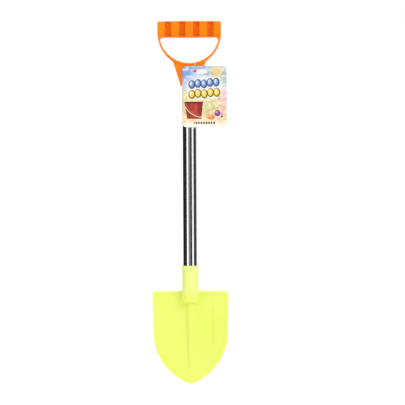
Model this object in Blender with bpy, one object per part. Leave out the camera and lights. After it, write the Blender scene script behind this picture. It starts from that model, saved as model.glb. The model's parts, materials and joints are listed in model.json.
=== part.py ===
"""A child's beach spade: one-piece D handle, plated tube shaft, shield blade and a hang card.

Frame: X to the right seen from the front, -Y towards the front, +Z up along the shaft.
The origin is the middle of the hand grip.  Heights in the constants are counted up from
the blade's tip, because that is how such a spade is measured; up() turns them into Z.
All lengths are in metres.
"""
import math

import bmesh
import bpy
from mathutils import Vector

# ---- driving dimensions ------------------------------------------------------------------
GRIP_CENTRE_HEIGHT = 0.5870
FIT_GAP = 0.0003
CUTTER_REACH = 0.0300
CUTTER_OVERRUN = 0.0020

GRIP_HALF_LENGTH = 0.0530
GRIP_HALF_HEIGHT = 0.0136
GRIP_HALF_DEPTH = 0.0115
GRIP_CROWN = 0.0006
GRIP_END_ROUND = 0.0024
GRIP_SECTION_POWER = 4.0
POCKET_COUNT = 4
POCKET_PITCH = 0.0233
POCKET_WIDTH = 0.0104
POCKET_RIM = 0.0014
POCKET_WEB = 0.0028

RING_CENTRE_HEIGHT = 0.5801
RING_OUTER_RADIUS = 0.0526
RING_THICKNESS = 0.0030
RING_DEPTH = 0.0210
RING_EDGE_ROUND = 0.0007

YOKE_BOTTOM_HEIGHT = 0.4936
YOKE_TOP_HEIGHT = 0.5365
YOKE_BOTTOM_RADIUS = 0.0156
YOKE_TOP_HALF_WIDTH = 0.0280
YOKE_COLLAR_TOP_HEIGHT = 0.4975
YOKE_LEG_HALF_DEPTH = 0.0095
YOKE_MOUTH_ROUND = 0.0006
YOKE_TOP_POWER = 5.0
YOKE_STATIONS = (0.0, 0.03, 0.09, 0.2, 0.3, 0.4, 0.5, 0.56, 0.8, 1.0)
WINDOW_BOTTOM_HEIGHT = 0.5115
WINDOW_TOP_HEIGHT = 0.5415
WINDOW_HALF_WIDTH = 0.0112
WINDOW_CORNER = 0.0030
HANDLE_BORE_TOP_HEIGHT = 0.5095

TUBE_RADIUS = 0.0115
TUBE_WALL = 0.0008
TUBE_TOP_HEIGHT = 0.5090
TUBE_BOTTOM_HEIGHT = 0.1482

BLADE_TOP_HEIGHT = 0.1535
BLADE_TOP_HALF_WIDTH = 0.0632
BLADE_SIDE_HALF_WIDTH = 0.0620
BLADE_SHOULDER_HEIGHT = 0.0870
BLADE_POINT_HEIGHT = -0.0020
BLADE_TIP_HALF_WIDTH = 0.0030
BLADE_CORNER = 0.0050
BLADE_WALL = 0.0026
BLADE_FLOOR_Y = 0.0060
BLADE_DISH = 0.0100
BLADE_TIP_CURL = 0.0040
RIDGE_TOP_HEIGHT = 0.1370
RIDGE_END_HEIGHT = 0.0120
RIDGE_TOP_HALF_WIDTH = 0.0098
RIDGE_END_HALF_WIDTH = 0.0040
RIDGE_RISE = 0.0075
STEP_THICKNESS = 0.0045
STEP_LIP = 0.0015
STEP_TREAD = 0.0085
STEP_INSET = 0.0006
RIB_OFFSET = 0.0400
RIB_WIDTH = 0.0060
RIB_RISE = 0.0010
RIB_TOP_HEIGHT = 0.1440
RIB_BOTTOM_HEIGHT = 0.0620

SOCKET_RADIUS = 0.01345
SOCKET_RIM_RADIUS = 0.01390
SOCKET_RIM_LENGTH = 0.0050
SOCKET_RIM_SLOPE = 0.0012
SOCKET_RIM_ROUND = 0.0006
SOCKET_TOP_HEIGHT = 0.1955
SOCKET_END_HEIGHT = 0.1340
SOCKET_DOME_LENGTH = 0.0070
SOCKET_BORE_BOTTOM_HEIGHT = 0.1478

SCREW_HEAD_RADIUS = 0.0032
SCREW_HEAD_LENGTH = 0.0022
SCREW_SHANK_RADIUS = 0.0015
SCREW_TIP_LENGTH = 0.0020
SCREW_END_Y = 0.0060
SCREW_POINT_RADIUS = 0.0002
SCREW_HOLE_START_Y = 0.0040
SCREW_HOLE_END_Y = 0.0200
SCREW_SLOT_WIDTH = 0.0009
SCREW_SLOT_LENGTH = 0.0038
SCREW_SLOT_DEPTH = 0.0011
HANDLE_SCREW_HEIGHT = 0.5020
BLADE_SCREW_HEIGHT = 0.1800
HANDLE_SEAT_Y = 0.0140
BLADE_SEAT_Y = 0.0125

CARD_WIDTH = 0.0730
CARD_LEFT = -0.0120
CARD_TOP_HEIGHT = 0.5247
CARD_BOTTOM_HEIGHT = 0.4240
CARD_THICKNESS = 0.0004
CARD_Y = -0.0168
CARD_CORNER = 0.0070
CARD_HOLE_X = 0.0092
CARD_HOLE_HEIGHT = 0.5166
CARD_HOLE_RADIUS = 0.0026

LOOP_RADIUS = 0.0006
LOOP_FRONT_Y = -0.0187
LOOP_BACK_Y = 0.0125
LOOP_TOP_HEIGHT = 0.5326
LOOP_CORNER = 0.0015
LOOP_SLACK = 0.0009
LOOP_SLOPE = 0.51
LOOP_SLOPE_END_Y = -0.0098
LOOP_LOCK_SIZE = (0.0030, 0.0030, 0.0060)
LOOP_LOCK_OFFSET = 0.0006

# ---- how finely curves are divided -------------------------------------------------------
ROUND_STEPS = 40
SECTION_STEPS = 32
RING_STEPS = 44
RING_SPACE_STEPS = 96
SMALL_HOLE_STEPS = 20
LOOP_SIDES = 10
BLADE_ARC_ROWS = 16
BLADE_SIDE_ROWS = 8
STEP_STATIONS = 20

MATERIALS = {
    "orange_plastic": ((0.95, 0.22, 0.012), 0.35, 0.0),
    "lime_plastic": ((0.87, 0.98, 0.17), 0.35, 0.0),
    "plated_steel": ((0.80, 0.80, 0.82), 0.12, 1.0),
    "screw_steel": ((0.62, 0.62, 0.64), 0.30, 1.0),
    "clear_nylon": ((0.92, 0.92, 0.92), 0.25, 0.0),
    "printed_card": ((0.85, 0.82, 0.62), 0.55, 0.0),
}


# ---- small helpers -----------------------------------------------------------------------
def up(height):
    """Turn a height above the blade's tip into Z in the part's frame."""
    return height - GRIP_CENTRE_HEIGHT


def blend(start, end, share):
    """Return the value a share of the way from start to end."""
    return start + (end - start) * share


def ease(share):
    """Return a share from 0 to 1 that starts and ends with no slope."""
    share = min(max(share, 0.0), 1.0)
    return share * share * (3.0 - 2.0 * share)


def collection(name):
    """Return a new collection linked to the scene."""
    made = bpy.data.collections.new(name)
    bpy.context.scene.collection.children.link(made)
    return made


def material(name):
    """Return the Principled material of that name, made on first use."""
    if name in bpy.data.materials:
        return bpy.data.materials[name]
    colour, roughness, metallic = MATERIALS[name]
    made = bpy.data.materials.new(name)
    made.use_nodes = True
    shader = made.node_tree.nodes["Principled BSDF"]
    shader.inputs["Base Color"].default_value = (*colour, 1.0)
    shader.inputs["Roughness"].default_value = roughness
    shader.inputs["Metallic"].default_value = metallic
    return made


def object_from_bmesh(name, mesh_data, home, smooth_angle=None):
    """Store a bmesh as an object; faces turn smooth where they meet under the angle."""
    bmesh.ops.recalc_face_normals(mesh_data, faces=mesh_data.faces)
    mesh = bpy.data.meshes.new(name)
    mesh_data.to_mesh(mesh)
    mesh_data.free()
    if smooth_angle is not None:
        mesh.shade_smooth()
        mesh.set_sharp_from_angle(angle=smooth_angle)
    made = bpy.data.objects.new(name, mesh)
    home.objects.link(made)
    return made


def hide_tool(tool):
    """Show a boolean tool as a wire that never renders."""
    tool.display_type = "WIRE"
    tool.hide_render = True


def combine(target, tool, operation):
    """Add or cut a tool solid with an exact boolean modifier."""
    modifier = target.modifiers.new(operation.lower() + "_" + tool.name, "BOOLEAN")
    modifier.operation = operation
    modifier.solver = "EXACT"
    modifier.object = tool
    hide_tool(tool)


def loft(name, rings, home, smooth_angle=math.radians(35)):
    """Skin a row of equal point rings into one closed solid with flat ends."""
    mesh_data = bmesh.new()
    rows = [[mesh_data.verts.new(point) for point in ring] for ring in rings]
    count = len(rows[0])
    for low, high in zip(rows, rows[1:]):
        for index in range(count):
            following = (index + 1) % count
            mesh_data.faces.new((low[index], low[following], high[following], high[index]))
    mesh_data.faces.new(rows[0])
    mesh_data.faces.new(rows[-1])
    return object_from_bmesh(name, mesh_data, home, smooth_angle)


def turned(name, profile, home, steps=ROUND_STEPS, axis="Z", centre=(0.0, 0.0, 0.0)):
    """Turn (radius, distance) pairs into a solid around an axis through the centre."""
    rings = []
    for radius, distance in profile:
        ring = []
        for step in range(steps):
            angle = 2.0 * math.pi * step / steps
            first = radius * math.cos(angle)
            second = radius * math.sin(angle)
            offset = (first, second, distance) if axis == "Z" else (first, distance, second)
            ring.append(Vector(centre) + Vector(offset))
        rings.append(ring)
    return loft(name, rings, home)


def arc_points(centre, radius, start, end, steps):
    """Points of a circular arc from one angle to another, both ends included."""
    points = []
    for step in range(steps + 1):
        angle = blend(start, end, step / steps)
        points.append((centre[0] + radius * math.cos(angle), centre[1] + radius * math.sin(angle)))
    return points


def rounded_corners(corners, radius, steps=5):
    """Replace each corner of a convex outline by an arc that is tangent to both sides."""
    points = []
    for index, corner in enumerate(corners):
        here = Vector(corner)
        before = (Vector(corners[index - 1]) - here).normalized()
        after = (Vector(corners[(index + 1) % len(corners)]) - here).normalized()
        half = before.angle(after) / 2.0
        centre = here + (before + after).normalized() * (radius / math.sin(half))
        reach = radius / math.tan(half)
        first = here + before * reach - centre
        last = here + after * reach - centre
        turn = first.angle_signed(last)
        for step in range(steps + 1):
            angle = -turn * step / steps
            cos_angle, sin_angle = math.cos(angle), math.sin(angle)
            points.append((
                centre.x + first.x * cos_angle - first.y * sin_angle,
                centre.y + first.x * sin_angle + first.y * cos_angle,
            ))
    return points


def slab(name, outlines, front_y, back_y, home, edge_round=0.0):
    """Stand flat (x, z) outlines up as a plate between two Y values; inner ones are holes."""
    curve = bpy.data.curves.new(name + "_outline", "CURVE")
    curve.dimensions = "2D"
    curve.fill_mode = "BOTH"
    curve.extrude = (back_y - front_y) / 2.0 - edge_round
    curve.bevel_depth = edge_round
    curve.bevel_resolution = 1
    curve.offset = -edge_round
    for outline in outlines:
        spline = curve.splines.new("POLY")
        spline.points.add(len(outline) - 1)
        for point, (x, z) in zip(spline.points, outline):
            point.co = (x, z, 0.0, 1.0)
        spline.use_cyclic_u = True
    flat = bpy.data.objects.new(name + "_flat", curve)
    mesh = bpy.data.meshes.new_from_object(flat)
    bpy.data.objects.remove(flat)
    mesh_data = bmesh.new()
    mesh_data.from_mesh(mesh)
    bpy.data.meshes.remove(mesh)
    bmesh.ops.remove_doubles(mesh_data, verts=mesh_data.verts, dist=1e-6)
    middle_y = (front_y + back_y) / 2.0
    for vertex in mesh_data.verts:
        x, z, y = vertex.co
        vertex.co = (x, middle_y - y, z)
    return object_from_bmesh(name, mesh_data, home, math.radians(35))


def rectangle(left, right, low, high):
    """Corners of an upright rectangle as (x, z) pairs, from two X values and two heights."""
    return [(left, up(low)), (right, up(low)), (right, up(high)), (left, up(high))]


def block(name, low, high, home):
    """Return a box between two opposite corners."""
    mesh_data = bmesh.new()
    bmesh.ops.create_cube(mesh_data, size=1.0)
    for vertex in mesh_data.verts:
        vertex.co = [blend(low[axis], high[axis], vertex.co[axis] + 0.5) for axis in range(3)]
    return object_from_bmesh(name, mesh_data, home)


def superellipse(half_first, half_second, power, steps):
    """Points of a rounded section; power 2 is an ellipse, more is squarer."""
    points = []
    for step in range(steps):
        angle = 2.0 * math.pi * (step + 0.5) / steps
        cos_angle, sin_angle = math.cos(angle), math.sin(angle)
        first = math.copysign(abs(cos_angle) ** (2.0 / power), cos_angle)
        second = math.copysign(abs(sin_angle) ** (2.0 / power), sin_angle)
        points.append((half_first * first, half_second * second))
    return points


# ---- handle ------------------------------------------------------------------------------
def grip_bar(home):
    """The rounded bar the hand closes on, a little fuller in the middle."""
    end_angles = [math.radians(angle) for angle in (0, 30, 60, 90)]
    inner = GRIP_HALF_LENGTH - GRIP_END_ROUND
    rounded = [
        (inner + GRIP_END_ROUND * math.sin(angle), GRIP_END_ROUND * (1.0 - math.cos(angle)))
        for angle in end_angles
    ]
    straight = [(inner * share, 0.0) for share in (-0.67, -0.33, 0.0, 0.33, 0.67)]
    stations = [(-x, cut) for x, cut in reversed(rounded)] + straight + rounded
    rings = []
    for x, cut in stations:
        crown = GRIP_CROWN * (1.0 - (x / GRIP_HALF_LENGTH) ** 2)
        half_height = GRIP_HALF_HEIGHT - GRIP_CROWN + crown - cut
        section = superellipse(GRIP_HALF_DEPTH - cut, half_height, GRIP_SECTION_POWER, SECTION_STEPS)
        rings.append([(x, y, z) for y, z in section])
    return loft("grip_bar", rings, home)


def grip_pockets(home):
    """Cutters for the cored pockets that lighten the grip from the front and the back."""
    half_height = GRIP_HALF_HEIGHT - POCKET_RIM
    half_web = POCKET_WEB / 2.0
    reach = GRIP_HALF_DEPTH + CUTTER_OVERRUN
    sides = (("front", -reach, -half_web), ("back", half_web, reach))
    cutters = []
    for index in range(POCKET_COUNT):
        x = (index - (POCKET_COUNT - 1) / 2.0) * POCKET_PITCH
        for side, start, end in sides:
            cutters.append(block(
                f"pocket_{side}_{index + 1}",
                (x - POCKET_WIDTH / 2.0, start, -half_height),
                (x + POCKET_WIDTH / 2.0, end, half_height),
                home,
            ))
    return cutters


def ring_strip(home):
    """The thin deep strip that closes the D under the grip."""
    centre = (0.0, up(RING_CENTRE_HEIGHT))
    start, end = math.radians(184), math.radians(356)
    inner_radius = RING_OUTER_RADIUS - RING_THICKNESS
    outline = arc_points(centre, RING_OUTER_RADIUS, start, end, RING_STEPS)
    outline += arc_points(centre, inner_radius, end, start, RING_STEPS)
    return slab("handle", [outline], -RING_DEPTH / 2.0, RING_DEPTH / 2.0, home, RING_EDGE_ROUND)


def yoke_half_width(height):
    """Half the outer width of the Y-shaped yoke: a straight collar, then widening arms."""
    share = (height - YOKE_COLLAR_TOP_HEIGHT) / (YOKE_TOP_HEIGHT - YOKE_COLLAR_TOP_HEIGHT)
    return blend(YOKE_BOTTOM_RADIUS, YOKE_TOP_HALF_WIDTH, max(share, 0.0))


def yoke_block(home):
    """The yoke: round at the shaft's mouth, flat and wide where it meets the D."""
    rings = []
    for share in YOKE_STATIONS:
        height = blend(YOKE_BOTTOM_HEIGHT, YOKE_TOP_HEIGHT, share)
        mouth_round = YOKE_MOUTH_ROUND if share == 0.0 else 0.0
        flattening = ease((share - 0.30) / 0.24)
        half_depth = blend(YOKE_BOTTOM_RADIUS, YOKE_LEG_HALF_DEPTH, flattening) - mouth_round
        power = blend(2.0, YOKE_TOP_POWER, ease(share / 0.62))
        half_width = yoke_half_width(height) - mouth_round
        section = superellipse(half_width, half_depth, power, ROUND_STEPS)
        rings.append([(x, y, up(height)) for x, y in section])
    return loft("yoke_block", rings, home)


def yoke_window(home):
    """Cutter for the opening between the yoke's two legs, under the D."""
    half = WINDOW_HALF_WIDTH
    outline = rounded_corners(
        rectangle(-half, half, WINDOW_BOTTOM_HEIGHT, WINDOW_TOP_HEIGHT), WINDOW_CORNER
    )
    return slab("yoke_window", [outline], -CUTTER_REACH, CUTTER_REACH, home)


def ring_space(home):
    """Cutter that keeps the yoke out of the hand opening."""
    radius = RING_OUTER_RADIUS - RING_THICKNESS / 2.0
    profile = [(radius, -CUTTER_REACH), (radius, CUTTER_REACH)]
    centre = (0.0, 0.0, up(RING_CENTRE_HEIGHT))
    return turned("ring_space", profile, home, RING_SPACE_STEPS, "Y", centre)


def screw_hole(name, height, seat_y, home):
    """Cutter for one screw: a clearance hole with a counterbore for the head."""
    head = SCREW_HEAD_RADIUS + FIT_GAP
    shank = SCREW_SHANK_RADIUS + FIT_GAP
    seat = seat_y - FIT_GAP
    profile = [(shank, SCREW_HOLE_START_Y), (shank, seat), (head, seat), (head, SCREW_HOLE_END_Y)]
    return turned(name, profile, home, SMALL_HOLE_STEPS, "Y", (0.0, 0.0, up(height)))


def handle(home, tools):
    """The whole orange moulding: D, cored grip, yoke and shaft socket."""
    body = ring_strip(home)
    yoke = yoke_block(tools)
    combine(yoke, yoke_window(tools), "DIFFERENCE")
    combine(yoke, ring_space(tools), "DIFFERENCE")
    combine(body, yoke, "UNION")
    combine(body, grip_bar(tools), "UNION")
    for cutter in grip_pockets(tools):
        combine(body, cutter, "DIFFERENCE")
    bore_radius = TUBE_RADIUS + FIT_GAP
    mouth = up(YOKE_BOTTOM_HEIGHT) - CUTTER_OVERRUN
    bore = [(bore_radius, mouth), (bore_radius, up(HANDLE_BORE_TOP_HEIGHT))]
    combine(body, turned("handle_bore", bore, tools), "DIFFERENCE")
    hole = screw_hole("handle_screw_hole", HANDLE_SCREW_HEIGHT, HANDLE_SEAT_Y, tools)
    combine(body, hole, "DIFFERENCE")
    body.data.materials.append(material("orange_plastic"))
    return body


# ---- shaft -------------------------------------------------------------------------------
def shaft_tube(home, tools):
    """The plated steel tube, open at both ends, with one hole at each end for a screw."""
    low, high = up(TUBE_BOTTOM_HEIGHT), up(TUBE_TOP_HEIGHT)
    tube = turned("shaft_tube", [(TUBE_RADIUS, low), (TUBE_RADIUS, high)], home)
    inside = TUBE_RADIUS - TUBE_WALL
    space = [(inside, low - CUTTER_OVERRUN), (inside, high + CUTTER_OVERRUN)]
    combine(tube, turned("tube_inside", space, tools), "DIFFERENCE")
    for name, height in (("top", HANDLE_SCREW_HEIGHT), ("bottom", BLADE_SCREW_HEIGHT)):
        radius = SCREW_SHANK_RADIUS + FIT_GAP
        profile = [(radius, SCREW_HOLE_START_Y), (radius, SCREW_HOLE_END_Y)]
        centre = (0.0, 0.0, up(height))
        hole = turned(f"tube_hole_{name}", profile, tools, SMALL_HOLE_STEPS, "Y", centre)
        combine(tube, hole, "DIFFERENCE")
    tube.data.materials.append(material("plated_steel"))
    return tube


def screw(name, height, seat_y, home, tools):
    """A pan-head self-tapping screw driven in from the back, with a cross recess."""
    head_back = seat_y + SCREW_HEAD_LENGTH
    profile = [
        (SCREW_POINT_RADIUS, SCREW_END_Y),
        (SCREW_SHANK_RADIUS, SCREW_END_Y + SCREW_TIP_LENGTH),
        (SCREW_SHANK_RADIUS, seat_y),
        (SCREW_HEAD_RADIUS, seat_y),
        (SCREW_HEAD_RADIUS, seat_y + 0.55 * SCREW_HEAD_LENGTH),
        (0.75 * SCREW_HEAD_RADIUS, seat_y + 0.9 * SCREW_HEAD_LENGTH),
        (0.35 * SCREW_HEAD_RADIUS, head_back),
    ]
    z = up(height)
    made = turned(name, profile, home, SMALL_HOLE_STEPS, "Y", (0.0, 0.0, z))
    half_length, half_width = SCREW_SLOT_LENGTH / 2.0, SCREW_SLOT_WIDTH / 2.0
    arms = (("flat", half_length, half_width), ("upright", half_width, half_length))
    for arm, half_x, half_z in arms:
        low = (-half_x, head_back - SCREW_SLOT_DEPTH, z - half_z)
        high = (half_x, head_back + CUTTER_OVERRUN, z + half_z)
        combine(made, block(f"{name}_recess_{arm}", low, high, tools), "DIFFERENCE")
    made.data.materials.append(material("screw_steel"))
    return made


# ---- blade -------------------------------------------------------------------------------
def lower_arc_radius():
    """Radius of the arc from the shoulder to the point, upright where it leaves the side."""
    drop = BLADE_SHOULDER_HEIGHT - BLADE_POINT_HEIGHT
    return (BLADE_SIDE_HALF_WIDTH ** 2 + drop ** 2) / (2.0 * BLADE_SIDE_HALF_WIDTH)


def blade_half_width(height):
    """Half the blade's width at a height."""
    if height < BLADE_SHOULDER_HEIGHT:
        radius = lower_arc_radius()
        drop = BLADE_SHOULDER_HEIGHT - height
        return BLADE_SIDE_HALF_WIDTH - radius + math.sqrt(radius ** 2 - drop ** 2)
    share = (height - BLADE_SHOULDER_HEIGHT) / (BLADE_TOP_HEIGHT - BLADE_SHOULDER_HEIGHT)
    width = blend(BLADE_SIDE_HALF_WIDTH, BLADE_TOP_HALF_WIDTH, share)
    into_corner = min(max(0.0, height - (BLADE_TOP_HEIGHT - BLADE_CORNER)), BLADE_CORNER)
    return width - BLADE_CORNER + math.sqrt(BLADE_CORNER ** 2 - into_corner ** 2)


def ridge_rise(x, height):
    """How far the middle ridge stands forward; it fades out towards the tip."""
    share = (height - RIDGE_END_HEIGHT) / (RIDGE_TOP_HEIGHT - RIDGE_END_HEIGHT)
    share = min(max(share, 0.0), 1.0)
    half_width = blend(RIDGE_END_HALF_WIDTH, RIDGE_TOP_HALF_WIDTH, share)
    across = max(0.0, 1.0 - abs(x) / half_width)
    return RIDGE_RISE * share ** 0.6 * ease(across)


def blade_front_y(x, height):
    """Y of the blade's front face: dished across, curling forward at the tip, ridged."""
    dish = BLADE_DISH * (x / BLADE_TOP_HALF_WIDTH) ** 2
    curl = BLADE_TIP_CURL * max(0.0, 1.0 - height / BLADE_SHOULDER_HEIGHT) ** 2
    return BLADE_FLOOR_Y - dish - curl - ridge_rise(x, height)


def blade_rows():
    """Heights of the blade's mesh rows, closest together at the tip and the top corners."""
    radius = lower_arc_radius()
    centre_x = BLADE_SIDE_HALF_WIDTH - radius
    start = math.acos((BLADE_TIP_HALF_WIDTH - centre_x) / radius)
    heights = []
    for step in range(BLADE_ARC_ROWS):
        angle = start * (1.0 - step / BLADE_ARC_ROWS)
        heights.append(BLADE_SHOULDER_HEIGHT - radius * math.sin(angle))
    corner_base = BLADE_TOP_HEIGHT - BLADE_CORNER
    for step in range(BLADE_SIDE_ROWS + 1):
        heights.append(blend(BLADE_SHOULDER_HEIGHT, corner_base, step / BLADE_SIDE_ROWS))
    for angle in (30, 60, 90):
        heights.append(corner_base + BLADE_CORNER * math.sin(math.radians(angle)))
    return heights


def blade_columns():
    """Shares of the half width for the mesh columns, closest together over the ridge."""
    half = [0.0, 0.025, 0.05, 0.08, 0.115, 0.16, 0.24, 0.34, 0.45, 0.56, 0.67, 0.78, 0.89, 1.0]
    return [-share for share in reversed(half[1:])] + half


def grid_border(rows):
    """Points round the edge of a grid of rows, in order."""
    right = [row[-1] for row in rows[1:-1]]
    left = [row[0] for row in reversed(rows[1:-1])]
    return rows[0] + right + rows[-1][::-1] + left


def blade_shell(home):
    """The dished sheet of the blade, one wall thick, ridge hollow from behind."""
    columns = blade_columns()
    mesh_data = bmesh.new()
    sheets = []
    for depth in (0.0, BLADE_WALL):
        rows = []
        for height in blade_rows():
            half_width = blade_half_width(height)
            row = []
            for share in columns:
                x = share * half_width
                row.append(mesh_data.verts.new((x, blade_front_y(x, height) + depth, up(height))))
            rows.append(row)
        sheets.append(rows)
    for rows in sheets:
        for low, high in zip(rows, rows[1:]):
            for index in range(len(columns) - 1):
                mesh_data.faces.new((low[index], low[index + 1], high[index + 1], high[index]))
    front, back = (grid_border(rows) for rows in sheets)
    for index in range(len(front)):
        following = (index + 1) % len(front)
        mesh_data.faces.new((front[index], front[following], back[following], back[index]))
    return object_from_bmesh("blade", mesh_data, home, math.radians(40))


def strip_on_blade(name, stations, heights, forward, behind, home):
    """A bar whose front and back follow the blade's face; stations are X values."""
    low, high = heights
    rings = []
    for x in stations:
        face = BLADE_FLOOR_Y - BLADE_DISH * (x / BLADE_TOP_HALF_WIDTH) ** 2
        rings.append([
            (x, face - forward, up(low)),
            (x, face + behind, up(low)),
            (x, face + behind, up(high)),
            (x, face - forward, up(high)),
        ])
    return loft(name, rings, home, math.radians(20))


def foot_step(home):
    """The thickened top edge that a bare foot can push on."""
    half = BLADE_TOP_HALF_WIDTH - STEP_INSET
    stations = [blend(-half, half, index / STEP_STATIONS) for index in range(STEP_STATIONS + 1)]
    heights = (BLADE_TOP_HEIGHT - STEP_THICKNESS, BLADE_TOP_HEIGHT)
    return strip_on_blade("foot_step", stations, heights, STEP_LIP, STEP_TREAD - STEP_LIP, home)


def side_rib(side, home):
    """One of the two low upright stiffening ribs."""
    half = RIB_WIDTH / 2.0
    stations = [side * RIB_OFFSET + offset for offset in (-half, -half / 3.0, half / 3.0, half)]
    name = "rib_left" if side < 0 else "rib_right"
    heights = (RIB_BOTTOM_HEIGHT, RIB_TOP_HEIGHT)
    return strip_on_blade(name, stations, heights, RIB_RISE, BLADE_WALL / 2.0, home)


def blade_socket(home):
    """The round socket for the shaft, domed where it ends on the blade."""
    dome_base = SOCKET_END_HEIGHT + SOCKET_DOME_LENGTH
    dome = []
    for angle in (75, 50, 25, 0):
        turn = math.radians(angle)
        radius = SOCKET_RADIUS - SOCKET_DOME_LENGTH * (1.0 - math.cos(turn))
        dome.append((radius, up(dome_base - SOCKET_DOME_LENGTH * math.sin(turn))))
    rim_base = SOCKET_TOP_HEIGHT - SOCKET_RIM_LENGTH
    profile = dome + [
        (SOCKET_RADIUS, up(rim_base)),
        (SOCKET_RIM_RADIUS, up(rim_base + SOCKET_RIM_SLOPE)),
        (SOCKET_RIM_RADIUS, up(SOCKET_TOP_HEIGHT - SOCKET_RIM_ROUND)),
        (SOCKET_RIM_RADIUS - SOCKET_RIM_ROUND, up(SOCKET_TOP_HEIGHT)),
    ]
    return turned("blade_socket", profile, home)


def blade(home, tools):
    """The whole lime moulding: dished sheet, foot step, ribs and socket."""
    body = blade_shell(home)
    combine(body, foot_step(tools), "UNION")
    for side in (-1, 1):
        combine(body, side_rib(side, tools), "UNION")
    combine(body, blade_socket(tools), "UNION")
    radius = TUBE_RADIUS + FIT_GAP
    mouth = up(SOCKET_TOP_HEIGHT) + CUTTER_OVERRUN
    bore = [(radius, up(SOCKET_BORE_BOTTOM_HEIGHT)), (radius, mouth)]
    combine(body, turned("socket_bore", bore, tools), "DIFFERENCE")
    hole = screw_hole("blade_screw_hole", BLADE_SCREW_HEIGHT, BLADE_SEAT_Y, tools)
    combine(body, hole, "DIFFERENCE")
    body.data.materials.append(material("lime_plastic"))
    return body


# ---- hang card ---------------------------------------------------------------------------
def loop_hold_z():
    """Z of the nylon's centre line where it passes through the card's hole."""
    return up(CARD_HOLE_HEIGHT) + CARD_HOLE_RADIUS - LOOP_SLACK - LOOP_RADIUS


def tag_card(home):
    """The printed card with its punched hole; it turns about the nylon that carries it."""
    outline = rectangle(CARD_LEFT, CARD_LEFT + CARD_WIDTH, CARD_BOTTOM_HEIGHT, CARD_TOP_HEIGHT)
    hole_centre = (CARD_HOLE_X, up(CARD_HOLE_HEIGHT))
    hole = arc_points(hole_centre, CARD_HOLE_RADIUS, 0.0, 2.0 * math.pi, SMALL_HOLE_STEPS)[:-1]
    outlines = [rounded_corners(outline, CARD_CORNER), hole]
    half_thickness = CARD_THICKNESS / 2.0
    made = slab("tag_card", outlines, CARD_Y - half_thickness, CARD_Y + half_thickness, home)
    hinge = Vector((CARD_HOLE_X, CARD_Y, loop_hold_z()))
    for vertex in made.data.vertices:
        vertex.co -= hinge
    made.location = hinge
    made.data.materials.append(material("printed_card"))
    return made


def loop_path():
    """Points (y, z) of the nylon loop: round the D's strip and through the card's hole.

    Behind the hole the nylon drops away, which leaves room for the card's edge to swing back.
    """
    front = loop_hold_z() + LOOP_SLOPE * (CARD_Y - LOOP_FRONT_Y)
    bottom = loop_hold_z() - LOOP_SLOPE * (LOOP_SLOPE_END_Y - CARD_Y)
    top = up(LOOP_TOP_HEIGHT)
    corners = [
        (LOOP_FRONT_Y, front),
        (LOOP_SLOPE_END_Y, bottom),
        (LOOP_BACK_Y, bottom),
        (LOOP_BACK_Y, top),
        (LOOP_FRONT_Y, top),
    ]
    return rounded_corners(corners, LOOP_CORNER, 4)


def tag_loop(home, tools):
    """The nylon loop pin that ties the card to the handle, with its small snap lock."""
    path = loop_path()
    count = len(path)
    mesh_data = bmesh.new()
    rings = []
    for index, (y, z) in enumerate(path):
        before, after = Vector(path[index - 1]), Vector(path[(index + 1) % count])
        along = (after - before).normalized()
        sideways = Vector((0.0, along.y, -along.x))
        ring = []
        for step in range(LOOP_SIDES):
            angle = 2.0 * math.pi * step / LOOP_SIDES
            outward = math.cos(angle) * Vector((1.0, 0.0, 0.0)) + math.sin(angle) * sideways
            ring.append(mesh_data.verts.new(Vector((CARD_HOLE_X, y, z)) + LOOP_RADIUS * outward))
        rings.append(ring)
    for index, ring in enumerate(rings):
        following = rings[(index + 1) % count]
        for step in range(LOOP_SIDES):
            side = (step + 1) % LOOP_SIDES
            mesh_data.faces.new((ring[step], ring[side], following[side], following[step]))
    made = object_from_bmesh("tag_loop", mesh_data, home, math.radians(60))
    middle_z = (loop_hold_z() + up(LOOP_TOP_HEIGHT)) / 2.0
    middle = Vector((CARD_HOLE_X, LOOP_BACK_Y + LOOP_LOCK_OFFSET, middle_z))
    half_size = Vector(LOOP_LOCK_SIZE) / 2.0
    combine(made, block("loop_lock", middle - half_size, middle + half_size, tools), "UNION")
    made.data.materials.append(material("clear_nylon"))
    return made


# ---- assembly ----------------------------------------------------------------------------
def build():
    """Clear the scene and make every piece of the spade."""
    for old in list(bpy.data.objects):
        bpy.data.objects.remove(old, do_unlink=True)
    spade = collection("beach_spade")
    tools = collection("cutters")
    handle(spade, tools)
    shaft_tube(spade, tools)
    blade(spade, tools)
    screw("handle_screw", HANDLE_SCREW_HEIGHT, HANDLE_SEAT_Y, spade, tools)
    screw("blade_screw", BLADE_SCREW_HEIGHT, BLADE_SEAT_Y, spade, tools)
    tag_card(spade)
    tag_loop(spade, tools)


build()
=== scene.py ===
"""Looks of the child's beach spade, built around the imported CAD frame.

Frame: metres, X along the grip, -Y towards the front, Z up, origin in the middle of the grip.
The mouldings are meshed from distance fields, so every edge and inner corner is rounded.
"""
import json
import math

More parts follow.
